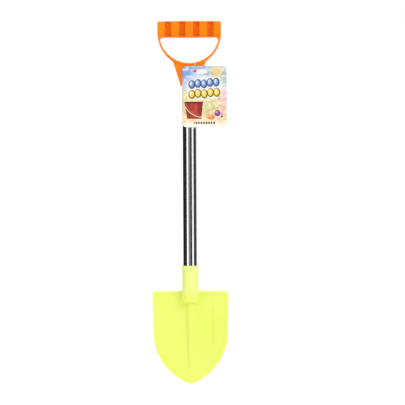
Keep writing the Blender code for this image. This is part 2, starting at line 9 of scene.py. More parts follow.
import bmesh
import bpy
import numpy as np
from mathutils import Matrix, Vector


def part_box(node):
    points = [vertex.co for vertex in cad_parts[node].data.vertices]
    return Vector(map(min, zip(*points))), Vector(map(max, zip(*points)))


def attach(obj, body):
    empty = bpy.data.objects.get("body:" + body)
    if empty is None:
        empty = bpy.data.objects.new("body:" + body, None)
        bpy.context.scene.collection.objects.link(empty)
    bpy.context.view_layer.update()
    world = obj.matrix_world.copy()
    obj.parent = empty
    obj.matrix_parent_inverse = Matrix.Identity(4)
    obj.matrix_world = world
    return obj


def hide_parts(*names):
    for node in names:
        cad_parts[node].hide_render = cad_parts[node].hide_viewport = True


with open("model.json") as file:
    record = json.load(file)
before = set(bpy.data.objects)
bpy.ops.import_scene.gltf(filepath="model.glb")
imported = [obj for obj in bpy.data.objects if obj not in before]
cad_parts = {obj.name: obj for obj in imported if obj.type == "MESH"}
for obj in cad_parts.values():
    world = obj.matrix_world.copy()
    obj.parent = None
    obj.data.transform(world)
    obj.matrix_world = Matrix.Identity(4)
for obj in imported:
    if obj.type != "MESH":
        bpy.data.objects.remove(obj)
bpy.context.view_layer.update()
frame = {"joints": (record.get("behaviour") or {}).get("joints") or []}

MM = 0.001
CARD_LOW, CARD_HIGH = (Vector(corner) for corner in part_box("tag_card"))
TUBE_LOW, TUBE_HIGH = (Vector(corner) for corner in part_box("shaft_tube"))
BLADE_LOW, BLADE_HIGH = (Vector(corner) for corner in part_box("blade"))
HANDLE_LOW, HANDLE_HIGH = (Vector(corner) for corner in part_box("handle"))
LOOP_LOW, LOOP_HIGH = (Vector(corner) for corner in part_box("tag_loop"))
HANDLE_SCREW_LOW, HANDLE_SCREW_HIGH = (Vector(corner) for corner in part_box("handle_screw"))
BLADE_SCREW_LOW, BLADE_SCREW_HIGH = (Vector(corner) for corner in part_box("blade_screw"))
CARD_HINGE = Vector(frame["joints"][0]["pos_m"])

# ---- sizes: the CAD's own, and the roundings that only the looks have ---------------------
TIP_Z = -587.0 * MM
TUBE_RADIUS = (TUBE_HIGH.x - TUBE_LOW.x) / 2.0
TUBE_WALL = 0.8 * MM
BORE_RADIUS = TUBE_RADIUS + 0.3 * MM

# The grip bar; a section's power is 2 for an ellipse and more for a squarer shape.
GRIP_HALF_LENGTH = HANDLE_HIGH.x
GRIP_HALF_HEIGHT = HANDLE_HIGH.z
GRIP_HALF_DEPTH = 11.5 * MM
GRIP_CROWN = 0.6 * MM
GRIP_SECTION_POWER = 4.0
GRIP_END_ROUND = 3.0 * MM
POCKET_PITCH = 23.3 * MM
POCKET_HALF_WIDTH = 5.2 * MM
POCKET_HALF_HEIGHT = 12.1 * MM
POCKET_HALF_WEB = 1.4 * MM
POCKET_COUNT = 4
POCKET_CORNER_ROUND = 1.6 * MM
POCKET_FLOOR_ROUND = 1.2 * MM
POCKET_RIM_ROUND = 1.0 * MM

# The D's strip and the Y-shaped yoke.
RING_CENTRE_Z = -6.9 * MM
RING_OUTER_RADIUS = 52.6 * MM
RING_THICKNESS = 3.0 * MM
RING_HALF_DEPTH = 10.5 * MM
RING_EDGE_ROUND = 1.6 * MM
RING_TOP_Z = RING_CENTRE_Z + 1.0 * MM
RING_TOP_ROUND = 1.0 * MM
RING_TO_YOKE_FILLET = 2.5 * MM
RING_TO_GRIP_FILLET = 7.0 * MM
YOKE_BOTTOM_Z = HANDLE_LOW.z
YOKE_TOP_Z = -50.5 * MM
YOKE_BOTTOM_RADIUS = 15.6 * MM
YOKE_TOP_HALF_WIDTH = 28.0 * MM
YOKE_COLLAR_TOP_Z = -89.5 * MM
YOKE_LEG_HALF_DEPTH = 9.5 * MM
YOKE_FLATTENING = (0.28, 0.56)
YOKE_SECTION_POWER = 2.0
YOKE_SQUARING = 2.6
YOKE_SQUARE_FROM = 0.75
YOKE_MOUTH_ROUND = 1.2 * MM
YOKE_INTO_RING = 3.0 * MM
YOKE_END_ROUND = 1.0 * MM
YOKE_INNER_ROUND = 0.5 * MM
WINDOW_BOTTOM_Z = -75.5 * MM
WINDOW_HALF_WIDTH = 11.2 * MM
WINDOW_CORNER_ROUND = 5.0 * MM
WINDOW_TOP_ROUND = 3.0 * MM
WINDOW_RIM_ROUND = 2.0 * MM
HANDLE_BORE_TOP_Z = TUBE_HIGH.z + 0.5 * MM
SIDE_TRIM_FROM_Z = YOKE_TOP_Z + 10.0 * MM
SIDE_TRIM_ROUND = 1.0 * MM
TOP_TRIM_ROUND = 0.6 * MM

# The blade, its step, ridge and ribs.
BLADE_TOP_Z = TIP_Z + 153.5 * MM
SHOULDER_Z = TIP_Z + 87.0 * MM
POINT_Z = TIP_Z - 2.0 * MM
SIDE_HALF_WIDTH = 62.0 * MM
TIP_HALF_WIDTH = 3.0 * MM
TOP_HALF_WIDTH = 63.2 * MM
BLADE_CORNER_ROUND = 9.0 * MM
BLADE_WALL = 2.6 * MM
BLADE_EDGE_ROUND = 1.6 * MM
FLOOR_Y = 6.0 * MM
DISH = 10.0 * MM
TIP_CURL = 4.0 * MM
RIDGE_TOP_Z = TIP_Z + 137.0 * MM
RIDGE_END_Z = TIP_Z + 12.0 * MM
RIDGE_RISE = 9.0 * MM
RIDGE_END_HALF_WIDTH = 4.5 * MM
RIDGE_WIDENING = 6.5 * MM
RIDGE_PROFILE_POWER = 0.6
RIDGE_CREST_SHARE = 0.22
RIDGE_CREST_ROUND = 0.25
PANEL_DEPTH = 0.7 * MM
PANEL_BORDER = 10.5 * MM
PANEL_BORDER_NARROWING = 6.0 * MM
PANEL_NARROWS = (TIP_Z + 15.0 * MM, SHOULDER_Z + 20.0 * MM)
PANEL_HALF_SLOPE = 0.8 * MM
RIB_OFFSET = 40.0 * MM
RIB_RISE = 1.0 * MM
RIB_EDGES = (1.8 * MM, 3.2 * MM)
RIB_BOTTOM = (TIP_Z + 58.0 * MM, TIP_Z + 66.0 * MM)
RIB_TOP = (TIP_Z + 136.0 * MM, TIP_Z + 144.0 * MM)
STEP_MIDDLE_BEHIND_FACE = 2.75 * MM
STEP_HALF_TREAD = 4.25 * MM
STEP_HALF_THICKNESS = 2.25 * MM
STEP_ROUND = 2.4 * MM
STEP_END_ROUND = 2.0 * MM
SHEET_TO_STEP_FILLET = 1.6 * MM
SHEET_TO_SOCKET_FILLET = 3.0 * MM

# The blade's socket, and the bore and screw seat that both mouldings have.
SOCKET_RADIUS = 13.45 * MM
SOCKET_RIM_RADIUS = 13.9 * MM
SOCKET_TOP_Z = BLADE_HIGH.z
SOCKET_END_Z = TIP_Z + 134.0 * MM
SOCKET_BORE_BOTTOM_Z = TIP_Z + 147.8 * MM
SOCKET_FLARE = 1.3 * MM
SOCKET_FLARE_FADES = (TIP_Z + 138.0 * MM, TIP_Z + 166.0 * MM)
SOCKET_RIM_STARTS = (SOCKET_TOP_Z - 5.6 * MM, SOCKET_TOP_Z - 4.6 * MM)
SOCKET_DOME_ROUND = 9.0 * MM
SOCKET_TOP_ROUND = 1.4 * MM
BORE_RIM_ROUND = 0.8 * MM
SEAT_RIM_ROUND = 0.6 * MM
SEAT_RADIUS = 3.5 * MM
SEAT_GAP = 0.3 * MM
SCREW_HOLE_RADIUS = 1.8 * MM
SCREW_HOLE_START_Y = 4.0 * MM

# The screws.
SCREW_HEAD_LENGTH = 2.2 * MM
SCREW_DOME_RADIUS = 5.0 * MM
SCREW_CORE_RADIUS = 1.25 * MM
THREAD_PITCH = 1.3 * MM
THREAD_RISE = 0.35 * MM
THREAD_RUN_OUT = 2.0 * MM
RECESS_HALF_LENGTH = 1.9 * MM
RECESS_HALF_WIDTH = 0.4 * MM
RECESS_FLOOR = 1.1 * MM
SCREW_HEAD_RADIUS = (HANDLE_SCREW_HIGH.x - HANDLE_SCREW_LOW.x) / 2.0
SCREW_TIP_Y = HANDLE_SCREW_LOW.y
SCREW_HEAD_REACH = Vector((0.0, SCREW_HEAD_LENGTH, SCREW_HEAD_RADIUS))
HANDLE_SCREW = Vector((0.0, HANDLE_SCREW_HIGH.y, HANDLE_SCREW_HIGH.z)) - SCREW_HEAD_REACH
BLADE_SCREW = Vector((0.0, BLADE_SCREW_HIGH.y, BLADE_SCREW_HIGH.z)) - SCREW_HEAD_REACH

# The hang card and its loop.
HINGE_ABOVE_HOLE = 1.1 * MM
HOLE_CENTRE = Vector((CARD_HINGE.x, CARD_HINGE.z - HINGE_ABOVE_HOLE))
HOLE_RADIUS = 2.6 * MM
CARD_CORNER_CUT = 7.7 * MM
CARD_BOW_ACROSS = 0.9 * MM
CARD_BOW_DOWN = 0.7 * MM
LOOP_RADIUS = 0.6 * MM
LOOP_BEND = 2.0 * MM
LOCK_HALF_WIDTH = 1.5 * MM
LOCK_HALF_HEIGHT = 3.0 * MM
LOCK_ROUND = 0.9 * MM
LOCK_GROOVE = 0.25 * MM
LOCK_GROOVE_PITCH = 1.5 * MM
LOOP_TO_LOCK_FILLET = 0.5 * MM
LOOP_UNDER_RING_Y = -9.8 * MM
LOOP_FRONT_Y = LOOP_LOW.y + LOOP_RADIUS
LOOP_BACK_Y = 12.5 * MM
LOOP_LOW_Z = LOOP_LOW.z + LOOP_RADIUS
LOOP_TOP_Z = LOOP_HIGH.z - LOOP_RADIUS
LOOP_ROUTE = (
    Vector((0.0, LOOP_FRONT_Y, CARD_HINGE.z + 1.0 * MM)),
    Vector((0.0, LOOP_UNDER_RING_Y, LOOP_LOW_Z)),
    Vector((0.0, LOOP_BACK_Y, LOOP_LOW_Z)),
    Vector((0.0, LOOP_BACK_Y, LOOP_TOP_Z)),
    Vector((0.0, LOOP_FRONT_Y, LOOP_TOP_Z)),
)

# ---- how finely the pieces are meshed ----------------------------------------------------
HANDLE_CELL = 0.9 * MM
BLADE_CELL = 0.9 * MM
SCREW_CELL = 0.16 * MM
LOOP_CELL = 0.2 * MM
PULL_ROUNDS = 5
LONGEST_PULL = 0.4 * MM
SLOPE_STEP = 0.05 * MM
LEAST_STEEPNESS = 0.2
TUBE_LIP = 0.2 * MM
TUBE_SIDES = 128
TUBE_RINGS = 24
HOLE_SIDES = 40
CARD_COLUMNS = 18
CARD_ROWS = 24
SHARP_ANGLE = math.radians(40.0)

# ---- colours and studio ------------------------------------------------------------------
ORANGE = (0.92, 0.243, 0.002, 1.0)
ORANGE_SHADE = (0.89, 0.215, 0.001, 1.0)
ORANGE_WORN = (0.95, 0.34, 0.06, 1.0)
LIME = (0.765, 0.855, 0.158, 1.0)
LIME_SHADE = (0.74, 0.84, 0.135, 1.0)
LIME_WORN = (0.84, 0.90, 0.45, 1.0)
# Painted highlight: a paler lime that fades in over the socket and foot step, standing in for the white
# light they reflect.
LIME_PAINTED_HIGHLIGHT = (0.78, 0.86, 0.30, 1.0)
PAINTED_HIGHLIGHT_START_Z = BLADE_TOP_Z - 8.0 * MM
PAINTED_HIGHLIGHT_FADE = 12.0 * MM
CARD_GREY = (0.86, 0.85, 0.85, 1.0)
PRINT_EDGE = 0.25

WORLD_STRENGTH = 1.0
LIGHT_TARGET = (0.0, 0.0, -0.3)
KEY_PLACE = (1.6, -1.7, 0.8)
KEY_SIZE = 1.2
KEY_POWER = 14.0
FILL_PLACE = (-1.8, -1.6, 0.2)
FILL_SIZE = 1.6
FILL_POWER = 1.0
OVERHEAD_STRENGTH = 0.35
OVERHEAD_ANGLE = math.radians(40.0)
FLOOR_Z = TIP_Z - 70.0 * MM
FLOOR_REACH = 6.0
REFLECTOR_RADIUS = 0.4
REFLECTOR_SPAN = (FLOOR_Z, 0.5)
REFLECTOR_STEP_DEGREES = 4.0
REFLECTORS = (
    ("panel_far_left", -172.0, -54.0, 0.02),
    ("panel_left", -26.0, 6.0, 0.20),
    ("panel_middle", 6.0, 33.0, 0.03),
    ("panel_far_right", 62.0, 124.0, 0.04),
    ("panel_edge", 124.0, 165.0, 0.70),
)

SENSOR = 36.0
CAMERA_DISTANCE = 2.4
FRAME_WIDTH = 671.5 * MM
CAMERA_X = 20.6 * MM
CAMERA_Z = -287.0 * MM
CAMERA_ROLL = math.radians(0.28)


# ---- distance fields ---------------------------------------------------------------------
def smooth_min(first, second, radius):
    """Join two fields with a rounded inner corner."""
    closeness = np.maximum(radius - np.abs(first - second), 0.0) / radius
    return np.minimum(first, second) - closeness * closeness * radius * 0.25


def smooth_max(first, second, radius):
    """Keep what two fields share, or cut one by another's negative, with a rounded edge."""
    return -smooth_min(-first, -second, radius)


def smooth_step(value, start, end):
    """Rise from 0 at start to 1 at end, with no slope at either."""
    share = np.clip((value - start) / (end - start), 0.0, 1.0)
    return share * share * (3.0 - 2.0 * share)


def rounded_section(first, second, half_first, half_second, power):
    """Field of a superellipse section; power 2 is an ellipse, more is squarer."""
    level = (np.abs(first) / half_first) ** power + (np.abs(second) / half_second) ** power
    return (level ** (1.0 / power) - 1.0) * np.minimum(half_first, half_second)


def ring_field(x, y, z):
    """The thin deep strip of the D."""
    radial = np.hypot(x, z - RING_CENTRE_Z)
    strip = np.abs(radial - RING_OUTER_RADIUS + RING_THICKNESS / 2.0) - RING_THICKNESS / 2.0
    strip = smooth_max(strip, np.abs(y) - RING_HALF_DEPTH, RING_EDGE_ROUND)
    return smooth_max(strip, z - RING_TOP_Z, RING_TOP_ROUND)


def grip_field(x, y, z):
    """The crowned grip bar with its cored pockets, front and back."""
    crown = GRIP_CROWN * (x / GRIP_HALF_LENGTH) ** 2
    bar = rounded_section(y, z, GRIP_HALF_DEPTH, GRIP_HALF_HEIGHT - crown, GRIP_SECTION_POWER)
    bar = smooth_max(bar, np.abs(x) - GRIP_HALF_LENGTH, GRIP_END_ROUND)
    half_count = (POCKET_COUNT - 1) / 2.0
    nearest = np.clip(np.round(x / POCKET_PITCH + half_count), 0, POCKET_COUNT - 1) - half_count
    pocket = np.abs(x - nearest * POCKET_PITCH) - POCKET_HALF_WIDTH
    pocket = smooth_max(pocket, np.abs(z) - POCKET_HALF_HEIGHT, POCKET_CORNER_ROUND)
    pocket = smooth_max(pocket, POCKET_HALF_WEB - np.abs(y), POCKET_FLOOR_ROUND)
    return smooth_max(bar, -pocket, POCKET_RIM_ROUND)


def yoke_field(x, y, z):
    """The Y-shaped yoke: round at the shaft's mouth, two flat legs at the D."""
    share = (z - YOKE_BOTTOM_Z) / (YOKE_TOP_Z - YOKE_BOTTOM_Z)
    spread = np.maximum((z - YOKE_COLLAR_TOP_Z) / (YOKE_TOP_Z - YOKE_COLLAR_TOP_Z), 0.0)
    half_width = YOKE_BOTTOM_RADIUS + (YOKE_TOP_HALF_WIDTH - YOKE_BOTTOM_RADIUS) * spread
    flattening = smooth_step(share, *YOKE_FLATTENING)
    half_depth = YOKE_BOTTOM_RADIUS + (YOKE_LEG_HALF_DEPTH - YOKE_BOTTOM_RADIUS) * flattening
    power = YOKE_SECTION_POWER + YOKE_SQUARING * smooth_step(share, 0.0, YOKE_SQUARE_FROM)
    body = rounded_section(x, y, half_width, half_depth, power)
    body = smooth_max(body, YOKE_BOTTOM_Z - z, YOKE_MOUTH_ROUND)
    body = smooth_max(body, z - YOKE_TOP_Z - YOKE_INTO_RING, YOKE_END_ROUND)
    radial = np.hypot(x, z - RING_CENTRE_Z)
    body = smooth_max(body, RING_OUTER_RADIUS - RING_THICKNESS / 2.0 - radial, YOKE_INNER_ROUND)
    window = smooth_max(np.abs(x) - WINDOW_HALF_WIDTH, WINDOW_BOTTOM_Z - z, WINDOW_CORNER_ROUND)
    window = smooth_max(window, radial - RING_OUTER_RADIUS, WINDOW_TOP_ROUND)
    return smooth_max(body, -window, WINDOW_RIM_ROUND)


def screw_seat_field(x, y, z, centre_z, seat_y):
    """Space of a screw's shank and its counterbored head, driven in from the back."""
    radial = np.hypot(x, z - centre_z)
    shank = np.maximum(radial - SCREW_HOLE_RADIUS, SCREW_HOLE_START_Y - y)
    return np.minimum(shank, np.maximum(radial - SEAT_RADIUS, seat_y - y))


def handle_field(x, y, z):
    """The whole orange moulding."""
    body = smooth_min(ring_field(x, y, z), yoke_field(x, y, z), RING_TO_YOKE_FILLET)
    body = smooth_min(body, grip_field(x, y, z), RING_TO_GRIP_FILLET)
    reach = np.where(z > RING_CENTRE_Z, np.abs(x), np.hypot(x, z - RING_CENTRE_Z))
    side = reach - RING_OUTER_RADIUS
    body = np.where(z > SIDE_TRIM_FROM_Z, smooth_max(body, side, SIDE_TRIM_ROUND), body)
    body = smooth_max(body, z - GRIP_HALF_HEIGHT, TOP_TRIM_ROUND)
    bore = np.maximum(np.hypot(x, y) - BORE_RADIUS, z - HANDLE_BORE_TOP_Z)
    body = smooth_max(body, -bore, BORE_RIM_ROUND)
    seat = screw_seat_field(x, y, z, HANDLE_SCREW.z, HANDLE_SCREW.y - SEAT_GAP)
    return smooth_max(body, -seat, SEAT_RIM_ROUND)


def outline_field(x, z):
    """The blade's flat outline: straight sides, arcs to the tip, rounded corners."""
    soft_x = np.sqrt(x * x + TIP_HALF_WIDTH ** 2)
    arc_radius = (SIDE_HALF_WIDTH ** 2 + (SHOULDER_Z - POINT_Z) ** 2) / (2.0 * SIDE_HALF_WIDTH)
    arc = np.hypot(soft_x - SIDE_HALF_WIDTH + arc_radius, z - SHOULDER_Z) - arc_radius
    widening = (TOP_HALF_WIDTH - SIDE_HALF_WIDTH) * (z - SHOULDER_Z) / (BLADE_TOP_Z - SHOULDER_Z)
    side = np.where(z < SHOULDER_Z, arc, soft_x - SIDE_HALF_WIDTH - widening)
    return smooth_max(side, z - BLADE_TOP_Z, BLADE_CORNER_ROUND)


def ridge_rise(x, z):
    """How far the middle ridge stands forward, with flat flanks and a soft crest."""
    share = np.clip((z - RIDGE_END_Z) / (RIDGE_TOP_Z - RIDGE_END_Z), 0.0, 1.0)
    half_width = RIDGE_END_HALF_WIDTH + RIDGE_WIDENING * share
    level = np.full_like(x, RIDGE_CREST_SHARE)
    crest = 1.0 - smooth_max(np.abs(x) / half_width, level, RIDGE_CREST_ROUND)
    return RIDGE_RISE * share ** RIDGE_PROFILE_POWER * smooth_step(crest, 0.0, 1.0)


def front_y(x, z):
    """Y of the blade's front face."""
    edge = -outline_field(x, z)
    dish = DISH * (x / TOP_HALF_WIDTH) ** 2
    curl = TIP_CURL * np.clip((SHOULDER_Z - z) / (SHOULDER_Z - TIP_Z), 0.0, 1.0) ** 2
    border = PANEL_BORDER - PANEL_BORDER_NARROWING * smooth_step(z, *PANEL_NARROWS)
    panel = PANEL_DEPTH * smooth_step(edge, border - PANEL_HALF_SLOPE, border + PANEL_HALF_SLOPE)
    rib = 1.0 - smooth_step(np.abs(np.abs(x) - RIB_OFFSET), *RIB_EDGES)
    rib *= smooth_step(z, *RIB_BOTTOM)
    rib *= 1.0 - smooth_step(z, *RIB_TOP)
    return FLOOR_Y - dish - curl - ridge_rise(x, z) + panel - RIB_RISE * rib


def sheet_field(x, y, z):
    """The dished sheet, one wall thick square to its own slope."""
    step = 0.5 * MM
    slope_x = (front_y(x + step, z) - front_y(x - step, z)) / (2.0 * step)
    slope_z = (front_y(x, z + step) - front_y(x, z - step)) / (2.0 * step)
    steepness = np.sqrt(1.0 + slope_x * slope_x + slope_z * slope_z)
    middle = front_y(x, z) + BLADE_WALL / 2.0
    sheet = (np.abs(y - middle) - BLADE_WALL / 2.0) / steepness
    return smooth_max(sheet, outline_field(x, z), BLADE_EDGE_ROUND)


def foot_step_field(x, y, z):
    """The thickened top edge, rounded at the front, that a foot pushes on."""
    face = FLOOR_Y - DISH * (x / TOP_HALF_WIDTH) ** 2
    across = np.abs(y - face - STEP_MIDDLE_BEHIND_FACE) - STEP_HALF_TREAD
    upright = np.abs(z - BLADE_TOP_Z + STEP_HALF_THICKNESS) - STEP_HALF_THICKNESS
    tread = smooth_max(across, upright, STEP_ROUND)
    return smooth_max(tread, outline_field(x, z), STEP_END_ROUND)


def socket_field(x, y, z):
    """The round socket: a thick rim on top, a slight flare and a dome where it ends."""
    flare = SOCKET_FLARE * (1.0 - smooth_step(z, *SOCKET_FLARE_FADES))
    rim = (SOCKET_RIM_RADIUS - SOCKET_RADIUS) * smooth_step(z, *SOCKET_RIM_STARTS)
    tube = np.hypot(x, y) - SOCKET_RADIUS - flare - rim
    tube = smooth_max(tube, SOCKET_END_Z - z, SOCKET_DOME_ROUND)
    return smooth_max(tube, z - SOCKET_TOP_Z, SOCKET_TOP_ROUND)


def blade_field(x, y, z):
    """The whole lime moulding."""
    body = smooth_min(sheet_field(x, y, z), foot_step_field(x, y, z), SHEET_TO_STEP_FILLET)
    body = smooth_min(body, socket_field(x, y, z), SHEET_TO_SOCKET_FILLET)
    bore = np.maximum(np.hypot(x, y) - BORE_RADIUS, SOCKET_BORE_BOTTOM_Z - z)
    body = smooth_max(body, -bore, BORE_RIM_ROUND)
    seat = screw_seat_field(x, y, z, BLADE_SCREW.z, BLADE_SCREW.y - SEAT_GAP)
    return smooth_max(body, -seat, SEAT_RIM_ROUND)


# ---- meshing -----------------------------------------------------------------------------
def part_of(grid, offset):
    """The block of grid points that are every cell's corner at that offset."""
    return grid[tuple(slice(step, size - 1 + step) for step, size in zip(offset, grid.shape))]


def cell_points(values):
    """One point per cell that the surface crosses: the mean of its crossed edges."""
    cells = tuple(size - 1 for size in values.shape)
    total = np.zeros(cells + (3,))
    count = np.zeros(cells)
    for axis in range(3):
        for pair in ((0, 0), (0, 1), (1, 0), (1, 1)):
            near = list(pair)
            near.insert(axis, 0)
            far = list(near)
            far[axis] = 1
            first, second = part_of(values, near), part_of(values, far)
            crossed = (first < 0.0) != (second < 0.0)
            point = np.broadcast_to(np.array(near, float), (int(crossed.sum()), 3)).copy()
            point[:, axis] = first[crossed] / (first[crossed] - second[crossed])
            total[crossed] += point
            count[crossed] += 1.0
    return total, count


def cell_quads(values, number):
    """Faces between the four cells round each crossed grid edge, facing outwards."""
    inside = values < 0.0
    faces = []
    for axis in range(3):
        turn = [axis, (axis + 1) % 3, (axis + 2) % 3]
        solid = inside.transpose(turn)
        cells = number.transpose(turn)
        low = solid[:-1, 1:-1, 1:-1]
        high = solid[1:, 1:-1, 1:-1]
        corners = [cells[:, :-1, :-1], cells[:, 1:, :-1], cells[:, 1:, 1:], cells[:, :-1, 1:]]
        for mask, order in ((low & ~high, (0, 1, 2, 3)), (~low & high, (3, 2, 1, 0))):
            faces.append(np.stack([corners[index][mask] for index in order], axis=1))
    return np.concatenate(faces)


def pull_to_surface(points, field):
    """Move points along the field's slope, in short pulls, onto its zero surface."""
    for _ in range(PULL_ROUNDS):
        value = field(*points.T)
        slope = np.empty_like(points)
        for axis in range(3):
            ahead, behind = points.copy(), points.copy()
            ahead[:, axis] += SLOPE_STEP
            behind[:, axis] -= SLOPE_STEP
            slope[:, axis] = (field(*ahead.T) - field(*behind.T)) / (2.0 * SLOPE_STEP)
        steep = np.maximum((slope * slope).sum(axis=1), LEAST_STEEPNESS)
        move = slope * (value / steep)[:, None]
        length = np.linalg.norm(move, axis=1, keepdims=True)
        points = points - move * np.minimum(1.0, LONGEST_PULL / np.maximum(length, 1e-12))
    return points


def field_object(name, field, low, high, cell):
    """Mesh the zero surface of a field inside a box, as a smooth-shaded object."""
    margin = 2.0 * cell
    axes = [np.arange(low[axis] - margin, high[axis] + margin + cell, cell) for axis in range(3)]
    values = field(*np.meshgrid(*axes, indexing="ij"))
    total, count = cell_points(values)
    used = count > 0.0
    number = np.full(count.shape, -1)
    number[used] = np.arange(int(used.sum()))
    start = np.array([axis[0] for axis in axes])
    points = start + cell * (np.argwhere(used) + total[used] / count[used][:, None])
    points = pull_to_surface(points, field)
    mesh = bpy.data.meshes.new(name)
    mesh.from_pydata(points.tolist(), [], cell_quads(values, number).tolist())
    mesh.shade_smooth()
    return link(bpy.data.objects.new(name, mesh))


def link(made):
    """Put a new object in the scene."""
    bpy.context.scene.collection.objects.link(made)
    return made


def lathe(name, profile, steps):
    """Turn a closed outline of (radius, height) pairs around the Z axis."""
    rings = []
    mesh_data = bmesh.new()
    for radius, height in profile:
        ring = []
        for step in range(steps):
            angle = 2.0 * math.pi * step / steps
            place = (radius * math.cos(angle), radius * math.sin(angle), height)
            ring.append(mesh_data.verts.new(place))
        rings.append(ring)
    for low, high in zip(rings, rings[1:] + rings[:1]):
        for step in range(steps):
            following = (step + 1) % steps
            mesh_data.faces.new((low[step], low[following], high[following], high[step]))
    bmesh.ops.recalc_face_normals(mesh_data, faces=mesh_data.faces)
    mesh = bpy.data.meshes.new(name)
    mesh_data.to_mesh(mesh)
    mesh_data.free()
    mesh.shade_smooth()
    mesh.set_sharp_from_angle(angle=SHARP_ANGLE)
    return link(bpy.data.objects.new(name, mesh))


# ---- materials ---------------------------------------------------------------------------
class Paint:
    """A Principled material and short ways to add nodes to it."""

    def __init__(self, name):
        self.material = bpy.data.materials.new(name)
        self.material.use_nodes = True
        self.tree = self.material.node_tree
        self.shader = self.tree.nodes["Principled BSDF"]
        self.place = self.node("ShaderNodeTexCoord").outputs["Object"]

    def node(self, kind, inputs=None, **settings):
        """Add a node; inputs maps a socket's name or number to a value or another socket."""
        made = self.tree.nodes.new(kind)
        for key, value in settings.items():
            setattr(made, key, value)
        for key, value in (inputs or {}).items():
            self.feed(made.inputs[key], value)
        return made

    def feed(self, socket, value):
        """Give a socket a fixed value or join it to another socket."""
        if isinstance(value, bpy.types.NodeSocket):
            self.tree.links.new(value, socket)
        else:
            socket.default_value = value

    def math(self, operation, first, second=0.0):
        """One arithmetic step."""
        return self.node("ShaderNodeMath", {0: first, 1: second}, operation=operation).outputs[0]

    def vector(self, operation, first, second=(0.0, 0.0, 0.0)):
        """One vector step; the output is a vector, or a number for DISTANCE and LENGTH."""
        made = self.node("ShaderNodeVectorMath", {0: first, 1: second}, operation=operation)
        return made.outputs["Value" if operation in ("DISTANCE", "LENGTH") else "Vector"]

    def ramp(self, value, start, end, low=0.0, high=1.0, smooth=True):
        """Map a range of a value onto another range, held at both ends."""
        inputs = {"Value": value, "From Min": start, "From Max": end, "To Min": low, "To Max": high}
        style = "SMOOTHSTEP" if smooth else "LINEAR"
        return self.node("ShaderNodeMapRange", inputs, interpolation_type=style).outputs[0]

    def noise(self, scale, detail=2.0, roughness=0.5, place=None):
        """Fractal noise between about 0.3 and 0.7."""
        inputs = {"Scale": scale, "Detail": detail, "Roughness": roughness}
        inputs["Vector"] = place or self.place
        return self.node("ShaderNodeTexNoise", inputs).outputs[0]

    def mix(self, share, first, second, style="MIX"):
        """Mix two colours by a share from 0 to 1."""
        made = self.node("ShaderNodeMix", data_type="RGBA", blend_type=style)
        for number, value in ((0, share), (6, first), (7, second)):
            self.feed(made.inputs[number], value)
        return made.outputs[2]

    def bump(self, height, strength, distance, under=None):
        """Bump from a height, on top of another bump if there is one."""
        inputs = {"Height": height, "Strength": strength, "Distance": distance}
        if under is not None:
            inputs["Normal"] = under
        return self.node("ShaderNodeBump", inputs).outputs[0]

    def shade(self, **values):
        """Set the shader's sockets; an underscore stands for a space."""
        for key, value in values.items():
            self.feed(self.shader.inputs[key.replace("_", " ")], value)
        return self.material


def srgb(red, green, blue):
    """A screen colour from 0 to 255 as linear RGBA."""
    def linear(level):
        share = level / 255.0
        return share / 12.92 if share <= 0.04045 else ((share + 0.055) / 1.055) ** 2.4
    return (linear(red), linear(green), linear(blue), 1.0)


def moulded_plastic(name, colour, shade_colour, worn_colour, roughness, glow, sheen, painted_highlight=None):
    """Injection-moulded plastic: faint colour drift, fine grain, scuffs on proud edges.

    The last argument, if given, is a paler colour and the height it fades in at: a painted highlight that
    whitens the socket and foot step.
    """
    paint = Paint(name)
    drift = paint.ramp(paint.noise(scale=14.0, detail=3.0), 0.35, 0.65)
    base = paint.mix(drift, colour, shade_colour)
    if painted_highlight is not None:
        # Painted highlight: above the given height the colour fades to a paler one, standing in for
        # reflected white light.
        pale, start_z = painted_highlight
        height = paint.node("ShaderNodeSeparateXYZ", {0: paint.place}).outputs[2]
        base = paint.mix(paint.ramp(height, start_z, start_z + PAINTED_HIGHLIGHT_FADE, 0.0, 0.65), base, pale)
    point = paint.node("ShaderNodeNewGeometry").outputs["Pointiness"]
    edge = paint.ramp(point, 0.53, 0.62)
    patchy = paint.ramp(paint.noise(scale=90.0, detail=4.0, roughness=0.7), 0.5, 0.7)
    wear = paint.math("MULTIPLY", edge, paint.math("MULTIPLY", patchy, 0.5))
    base = paint.mix(wear, base, worn_colour)
    stretched = paint.vector("MULTIPLY", paint.place, (300.0, 300.0, 900.0))
    scratches = paint.ramp(paint.noise(scale=1.0, detail=3.0, roughness=0.6, place=stretched), 0.60, 0.75)
    smudge = paint.noise(scale=30.0, detail=4.0, roughness=0.65)
    gloss = paint.ramp(smudge, 0.3, 0.7, roughness - 0.05, roughness + 0.08)
    gloss = paint.math("ADD", gloss, paint.math("MULTIPLY", scratches, 0.12))
    grain = paint.noise(scale=1800.0, detail=2.0)
    skin = paint.bump(grain, strength=0.10, distance=0.05 * MM)
    waves = paint.noise(scale=60.0, detail=2.0)
    skin = paint.bump(waves, strength=0.12, distance=0.3 * MM, under=skin)
    return paint.shade(
        Base_Color=base, Roughness=gloss, Normal=skin, IOR=1.48, Specular_IOR_Level=sheen,
        Subsurface_Weight=glow, Subsurface_Radius=colour[:3], Subsurface_Scale=4.0 * MM,
    )


